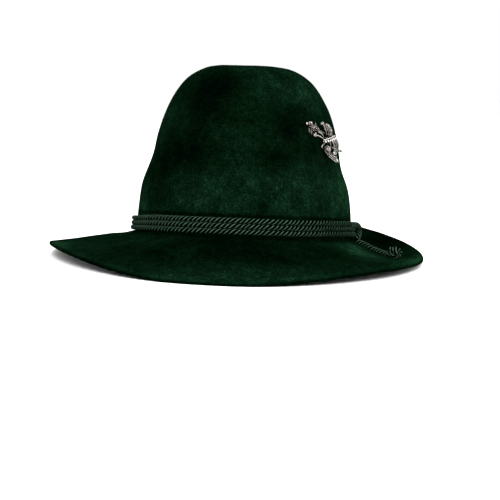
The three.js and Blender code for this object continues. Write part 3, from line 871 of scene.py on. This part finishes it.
def knot_path():
    """The knot: the tail's end goes in along the knot's axis, comes round outside itself in close
    turns that stand on the brim, and is tucked in."""
    middle = above_brim(*KNOT_PLACE, KNOT_HEIGHT / 2 + GAP)
    start = above_brim(*TAIL_ROUTE[-1], CORD / 2 + GAP)
    foot = above_brim(*KNOT_PLACE, 0)
    up = unit(middle - foot)
    axis = unit(middle - start - up * ((middle - start) @ up))
    side = np.cross(up, axis)
    rope = 1.75
    coil = KNOT_WIDTH / 2 - rope
    half_length = KNOT_WIDTH / 2 - rope
    flatten = (KNOT_HEIGHT / 2 - rope) / coil
    turns, steps = 2.35, 34
    drawn_together, narrower_at_ends = 0.92, 0.22
    points = [start - middle, -axis * half_length * 0.6, axis * half_length * 0.5]
    for share in np.linspace(0, 1, steps):
        angle = 2 * math.pi * turns * share - math.pi / 2
        along = half_length * (1 - 2 * share) * drawn_together
        bulge = coil * (1 - narrower_at_ends * (2 * share - 1) ** 2)
        outward = up * math.cos(angle) * flatten + side * math.sin(angle)
        points.append(axis * along + outward * bulge)
    points.append(-axis * half_length * 0.2 + side * 0.5)
    return np.array(points) + middle, rope


def painted_side_shade(centres):
    """Painted shade: the band is a little darker at its sides, more so on the wearer's right."""
    shade_from, comes_in_over = 60 * MM, 30 * MM
    right_shade, left_shade = 0.026, 0.016
    x = centres[:, 0]
    share = np.clip((np.abs(x) - shade_from) / comes_in_over, 0, 1)
    return share * np.where(x < 0, right_shade, left_shade)


def add_cords(material):
    spacing = 0.45
    twist_from_turn_to_turn = 1.9
    for turn, name in enumerate(("band_cord_lower", "band_cord_middle", "band_cord_upper")):
        centres, out = band_turn(turn)
        mesh = rope_mesh(
            name, centres, closed=True, out=out, start_twist=turn * twist_from_turn_to_turn,
            painted_shade=painted_side_shade(centres),
        )
        add_piece(mesh, "twisted_" + name, material, [name])
    wrap_line = placed(smooth_path(wrap_points(), spacing))
    wrap_mesh = rope_mesh("wrap", wrap_line, closed=False, radius=WRAP_RADIUS)
    add_piece(wrap_mesh, "twisted_wrap", material, ["cord_wrap"])
    route = [above_brim(x, y, CORD / 2 + GAP) for x, y in TAIL_ROUTE]
    path = placed(smooth_path(route, spacing))
    tail_mesh = rope_mesh("tail", path, closed=False, start_twist=0.6)
    tail = add_piece(tail_mesh, "twisted_tail", material, ["cord_tail"])
    knot_line, rope = knot_path()
    knot_mesh = rope_mesh("knot", placed(smooth_path(knot_line, spacing)), closed=False, radius=rope)
    knot = add_piece(knot_mesh, "knotted_end", material, ["tail_knot"])


# Brooch

BROOCH_AROUND = 64
BROOCH_HEIGHT = 79
DEGREES_PER_MM = 1 / 1.486
BROOCH_SLOPE = 0.95

# Places on the spray, laid flat: across is along the crown towards the back, up is up the crown, and
# out is how far the piece's middle stands off the felt.
PLACES = {
    "pearl": (-18.6, 9.6, 2.5),
    "blossom top": (-14.9, 8.9, 3),
    "blossom low": (-13, 6.3, 3),
    "bud top": (-10, 7.6, 3.5),
    "side leaf high": (-17.1, 4.4, 2),
    "side leaf low": (-16, 2.5, 2),
    "berry": (-14.5, 0.1, 3),
    "bud middle": (-7.4, 3.2, 3),
    "stem low": (-8.5, 0.7, 2.5),
    "stem low end": (-2.6, -1.7, 2.5),
    "leaf top": (0.4, 11, 3),
    "leaf middle": (2.2, 6.3, 3.5),
    "leaf right": (6.7, 7, 4),
    "leaf end": (4.5, 2.5, 4),
    "peak": (6.3, 1.9, 4.5),
    "tie left": (-3.3, -3.5, 3),
    "tie middle": (2.2, -2.3, 5),
    "tie right": (10.8, 0.1, 6),
    "bundle": (7.4, -6.4, 5),
    "bundle edge": (11.5, -4.7, 6),
    "loop top": (-2.2, -4.7, 2.5),
    "loop bottom": (-6.7, -8.2, 2.5),
    "loop end": (-2.2, -10.5, 2.5),
    "flower": (-1.9, -11, 4),
    "leaf low": (10, -9.9, 5),
    "spur root": (12.6, -10.5, 5.5),
    "spur": (18.2, -10.5, 6.5),
    "petal": (7.8, -12.7, 4),
    "strand start": (1.5, -13.3, 2.5),
    "strand middle": (8.2, -16.7, 3),
    "strand end": (14.9, -18.3, 3),
}
LOWEST_METAL = 0.35

# Each wire: the places that it goes through, its radius, and how brightly it is rubbed.
WIRES = [
    (("pearl", "blossom low", "bud middle", "leaf end", "tie middle"), 0.8, 0.3),
    (("berry", "stem low", "stem low end", "tie left"), 0.65, 0.8),
    (("side leaf high", "blossom low", "bud top"), 0.6, 0.25),
    (("leaf top", "leaf middle", "leaf end", "tie middle", "bundle", "leaf low"), 0.9, 0.2),
    (("leaf right", "peak", "tie right", "bundle edge", "leaf low", "petal"), 0.8, 0.25),
    (("tie middle", "tie left", "loop top", "loop bottom", "loop end", "flower"), 0.6, 0.75),
    (("bundle", "leaf low", "spur root"), 0.75, 0.2),
    (("spur root", "spur"), 1.0, 0.3),
    (("flower", "petal", "leaf low"), 0.8, 0.2),
]

# Each leaf: the place that it is near, how far across, up and out from it its middle is, the
# direction of its tip in degrees from across towards up, its length, width and thickness, the lobes
# along each edge, how far its edges and its tip are raised, and how brightly it is rubbed.
LEAVES = [
    ("leaf middle", (-0.9, -0.4, 0.2), 108, 11.0, 4.4, 1.2, 4, 1.5, 0.2, 0.75),
    ("leaf right", (-0.4, -0.6, -0.3), 120, 8.5, 4.6, 1.2, 3, 0.7, 0.3, 0.45),
    ("leaf end", (-0.3, 1.0, 0.6), 76, 8.0, 3.0, 1.1, 0, 0.9, 0.3, 0.45),
    ("peak", (0.4, 0.6, 0.6), 70, 4.6, 3.6, 1.2, 0, 0.7, 0.5, 0.6),
    ("side leaf high", (-0.5, 0.2, 0.1), 245, 5.2, 1.5, 1.0, 0, 0.4, 0.3, 0.75),
    ("side leaf high", (1.4, -0.6, 0.4), 235, 5.4, 1.6, 1.0, 0, 0.4, 0.4, 0.7),
    ("side leaf low", (0.3, -0.2, 0.1), 240, 4.4, 1.8, 1.0, 0, 0.3, 0.2, 0.5),
    ("bud top", (-0.6, 0.3, 0.3), 75, 5.0, 2.2, 1.0, 2, 0.5, 0.8, 0.6),
    ("bud top", (0.8, -2.4, 0.2), 300, 5.0, 2.4, 1.0, 0, 0.9, 0.3, 0.7),
    ("bud middle", (1.0, -0.3, 0.6), 310, 4.6, 2.8, 1.1, 0, 0.9, 0.3, 0.7),
    ("bud middle", (3.2, -1.6, 0.2), 300, 6.0, 1.6, 0.9, 0, 0.5, 0.2, 0.6),
    ("bundle", (-3.4, 1.1, -0.7), 280, 8.5, 3.8, 1.4, 0, 0.9, -0.4, 0.6),
    ("bundle", (-0.4, 0.4, 0.4), 290, 9.5, 3.8, 1.4, 0, 1.1, -0.3, 0.72),
    ("bundle", (2.6, 0.9, 0.9), 296, 9.5, 2.8, 1.2, 0, 1.0, -0.3, 0.6),
    ("bundle edge", (1.4, -0.4, 0.4), 288, 8.0, 2.2, 1.2, 0, 0.8, -0.2, 0.6),
    ("leaf low", (-2.0, 0.8, 0.6), 345, 7.0, 2.6, 1.1, 2, 0.7, 0.6, 0.65),
    ("leaf low", (1.4, -0.6, 0.7), 5, 6.5, 2.8, 1.2, 2, 0.6, 0.4, 0.5),
    ("spur root", (0.8, 0.8, 0.5), 20, 5.0, 2.0, 1.0, 0, 0.4, 0.2, 0.55),
    ("petal", (-0.4, 0.4, 0.9), 250, 4.6, 3.8, 1.1, 0, 0.9, -0.3, 1.1),
    ("petal", (3.0, 0.2, 0.3), 300, 4.6, 2.4, 1.0, 0, 0.6, -0.2, 0.45),
    ("strand end", (-2.6, 2.6, 0.4), 345, 4.2, 1.7, 0.9, 0, 0.5, 0.4, 0.85),
    ("strand end", (-0.6, -0.4, 0.5), 320, 3.6, 1.7, 0.9, 0, 0.4, 0.4, 1.0),
]

# Each blossom: its middle, its radius, its petals, and how brightly it is rubbed.
BLOSSOMS = [
    ("blossom top", 2.5, 5, 0.6),
    ("blossom low", 2.9, 6, 0.55),
    ("flower", 3.9, 6, 0.6),
]

# Each bud: the place that it is near, how far across, up and out from it, its radius, and how
# brightly it is rubbed.
BUDS = [
    ("pearl", (0, 0, 0), 1.15, 0.85),
    ("pearl", (2.4, 0.4, 0.7), 1.3, 0.6),
    ("blossom top", (0.2, 1.0, 1.1), 0.9, 0.75),
    ("blossom low", (-1.4, 1.6, 1.2), 0.9, 0.6),
    ("blossom low", (2.2, 0.8, 0.9), 0.8, 0.65),
    ("berry", (0, 0, 0.3), 1.8, 0.62),
    ("berry", (0.5, 0.9, 1.6), 0.6, 0.9),
    ("bud middle", (0, 0, 0), 1.2, 0.45),
    ("leaf top", (-1.5, -0.6, 0.2), 1.15, 0.6),
    ("leaf top", (0.6, 0.2, 0.3), 1.2, 0.7),
    ("leaf right", (-2.6, 2.6, 0.3), 1.3, 0.6),
    ("leaf right", (-0.4, 2.0, 0.5), 1.4, 0.75),
    ("leaf right", (1.0, 0.2, 0.6), 1.4, 0.55),
    ("leaf right", (-1.6, 0.4, 0.8), 1.1, 0.5),
    ("leaf right", (1.2, -2.0, 0.8), 1.5, 0.7),
    ("leaf right", (-0.4, -1.6, 1.0), 1.0, 0.6),
    ("flower", (-0.4, 0.6, 0.4), 2.7, 0.62),
    ("strand end", (0, 0, 0), 1.3, 0.85),
    ("spur", (0, 0, 0), 1.15, 0.2),
]
STRANDS = (-1.7, 0.0, 1.7)
STRAND_LINE = ("strand start", "strand middle", "strand end")
TIE = ("tie left", "tie middle", "tie right")
TIE_ROW_GAP = 1.8


def brooch_points(flat):
    """Places laid flat, put on the crown's side and moved out along its normal."""
    angle = np.radians(BROOCH_AROUND + flat[:, 0] * DEGREES_PER_MM)
    row = row_at_height(angle, BROOCH_HEIGHT + flat[:, 1] * BROOCH_SLOPE, RIM + 1, DRUM)
    return felt_points(row, angle, -np.maximum(flat[:, 2], LOWEST_METAL))


def add_ball(form, place, radius, bright, squash=1.0):
    """A cast bead, rubbed brightest on top and dark round its foot."""
    proud = form.verts.layers.float["proud"]
    made = bmesh.ops.create_icosphere(form, subdivisions=3, radius=1)["verts"]
    for vert in made:
        vert[proud] = bright * (0.2 + 0.8 * max(vert.co.z, 0))
        vert.co = Vector(place) + Vector((vert.co.x, vert.co.y, vert.co.z * squash)) * radius


def add_wire(form, points, radius, bright, thin_end=0.7):
    """A cast wire along a smooth path: a ball drawn out along it, so its ends are round."""
    proud = form.verts.layers.float["proud"]
    path = smooth_path(points, 0.25)
    tangent = unit(np.gradient(path, axis=0))
    side = unit(np.cross(tangent, (0, 0, 1)))
    over = np.cross(side, tangent)
    made = bmesh.ops.create_uvsphere(form, u_segments=10, v_segments=36, radius=1)["verts"]
    for vert in made:
        share = math.acos(max(-1, min(1, -vert.co.z))) / math.pi
        spread = math.hypot(vert.co.x, vert.co.y)
        index = min(round(share * (len(path) - 1)), len(path) - 1)
        grow = radius * (1 + (thin_end - 1) * share) * spread**0.3 / max(spread, 1e-6)
        vert[proud] = bright * (0.25 + 0.75 * max(vert.co.y, 0) / max(spread, 1e-6))
        vert.co = Vector(path[index] + (side[index] * vert.co.x + over[index] * vert.co.y) * grow)


def add_blade(form, place, heading, length, width, thick, lobes, raised, tilt, bright):
    """A leaf or petal: a flattened ball drawn to a point, hollowed between a midrib and raised
    edges, with side veins, and with lobes along both edges."""
    proud = form.verts.layers.float["proud"]
    made = bmesh.ops.create_uvsphere(form, u_segments=32, v_segments=22, radius=1)["verts"]
    turn = Matrix.Rotation(heading, 3, "Z")
    midrib_width, veins, vein_slant, lobe_depth = 0.16, 2.6, 0.8, 0.2
    for vert in made:
        along, across, top = vert.co.z, vert.co.x, vert.co.y
        body = 1 - along * along
        reach = abs(across) / max(math.sqrt(max(body, 0)), 0.05)
        taper = 1 - 0.5 * max(along, 0) ** 2
        edge = 1 + lobe_depth * math.cos(math.pi * lobes * (along + 1)) if lobes else 1
        midrib = math.exp(-((reach / midrib_width) ** 2))
        vein = 0.5 + 0.5 * math.cos(2 * math.pi * (veins * along - vein_slant * reach))
        rim = min(reach, 1) ** 5
        height = top * thick / 2 + raised * reach * reach * body + tilt * along
        if top > 0:
            height += (0.35 * midrib + 0.2 * vein * (1 - midrib)) * body
            vert[proud] = bright * (0.1 + 0.75 * midrib + 0.4 * vein * (1 - rim) + 1.1 * rim)
        else:
            vert[proud] = bright * 0.3
        shape = Vector((along * length / 2, across * taper * edge * width / 2, height))
        vert.co = Vector(place) + turn @ shape


def add_blossom(form, place, radius, petals, bright):
    """A flower head: petals cupped round a button of small beads."""
    for petal in range(petals):
        heading = 2 * math.pi * (petal + 0.3) / petals
        middle = Vector(place) + Matrix.Rotation(heading, 3, "Z") @ Vector((radius * 0.58, 0, -0.2))
        add_blade(form, middle, heading, radius * 1.1, radius * 0.9, 0.9, 0, 0.5, 0.5, bright)
    for bead in range(5):
        spot = Matrix.Rotation(2 * math.pi * bead / 5, 3, "Z") @ Vector((radius * 0.22, 0, 0.45))
        add_ball(form, Vector(place) + spot, radius * 0.15, bright * 1.3)
    add_ball(form, Vector(place) + Vector((0, 0, 0.8)), radius * 0.17, bright * 1.4)


def add_tie(form):
    """The tie round the bundle: a row of large beads below and a row of small ones above, on wires."""
    for share, bead_radius, beads, bright in ((-0.5, 0.95, 6, 1.2), (0.5, 0.65, 9, 1.0)):
        points = [np.add(PLACES[name], (0, share * TIE_ROW_GAP, 0)) for name in TIE]
        add_wire(form, points, bead_radius * 0.55, 0.2, thin_end=1.0)
        path = smooth_path(points, 0.1)
        for bead in range(beads):
            spot = path[round((bead + 0.5) / beads * (len(path) - 1))]
            add_ball(form, spot + (0, 0, bead_radius * 0.5), bead_radius, bright)


def add_brooch(material):
    form = bmesh.new()
    form.verts.layers.float.new("proud")
    for names, radius, bright in WIRES:
        add_wire(form, [PLACES[name] for name in names], radius, bright)
    for name, offset, degrees, *size_and_shape in LEAVES:
        add_blade(form, np.add(PLACES[name], offset), math.radians(degrees), *size_and_shape)
    for name, radius, petals, bright in BLOSSOMS:
        add_blossom(form, PLACES[name], radius, petals, bright)
    for name, offset, radius, bright in BUDS:
        add_ball(form, np.add(PLACES[name], offset), radius, bright)
    for aside in STRANDS:
        offset = (aside * 0.35, aside, 0.3)
        add_wire(form, [np.add(PLACES[name], offset) for name in STRAND_LINE], 0.5, 0.75)
    add_wire(form, [PLACES["flower"], PLACES["strand start"]], 0.8, 0.4)
    add_tie(form)
    add_ball(form, np.add(PLACES["tie middle"], (0, 0, -2.6)), 2.5, 0.1, squash=0.8)
    mesh = mesh_of(form, "spray")
    move_vertices(mesh, placed(brooch_points(vertex_places(mesh))))
    finish_normals(mesh)
    return add_piece(mesh, "cast_spray", material, ["brooch"])


# Stage

def add_stage(material):
    floor_radius = 8.0
    form = bmesh.new()
    bmesh.ops.create_circle(form, cap_ends=True, segments=96, radius=floor_radius)
    mesh = mesh_of(form, "floor")
    mesh.materials.append(material)
    floor = bpy.data.objects.new("floor", mesh)
    bpy.context.scene.collection.objects.link(floor)


def add_softbox(name, place, target, size, power):
    data = bpy.data.lights.new(name, "AREA")
    data.shape = "RECTANGLE"
    data.size, data.size_y = size
    data.energy = power
    light = bpy.data.objects.new(name, data)
    facing = (Vector(place) - Vector(target)).to_track_quat("Z", "Y").to_matrix().to_4x4()
    light.matrix_world = Matrix.Translation(place) @ facing
    bpy.context.scene.collection.objects.link(light)


def add_light():
    world = bpy.data.worlds.new("white studio")
    world.use_nodes = True
    background = world.node_tree.nodes["Background"]
    background.inputs["Color"].default_value = (1, 1, 1, 1)
    background.inputs["Strength"].default_value = 1.0
    bpy.context.scene.world = world
    hat = (0, 0, 0.08)
    add_softbox("front softbox", (0.3, -1.9, 0.9), hat, (0.7, 0.7), 75)
    add_softbox("top softbox", (0.1, -0.3, 2.0), hat, (1.0, 1.0), 12)
    add_softbox("side softbox", (1.6, 0.5, 0.8), hat, (0.6, 0.8), 8)
    add_softbox("back softbox", (0.4, 1.8, 1.2), hat, (1.2, 0.9), 40)
    bpy.context.scene.view_settings.view_transform = "Standard"


add_camera()
add_cords(twisted_rayon())
add_felt(velour_felt())
add_brooch(oxidised_silver())
steel = nickel_steel()
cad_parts["brooch_post"].data.materials.clear()
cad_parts["brooch_post"].data.materials.append(steel)
add_stage(white_laminate())
add_light()
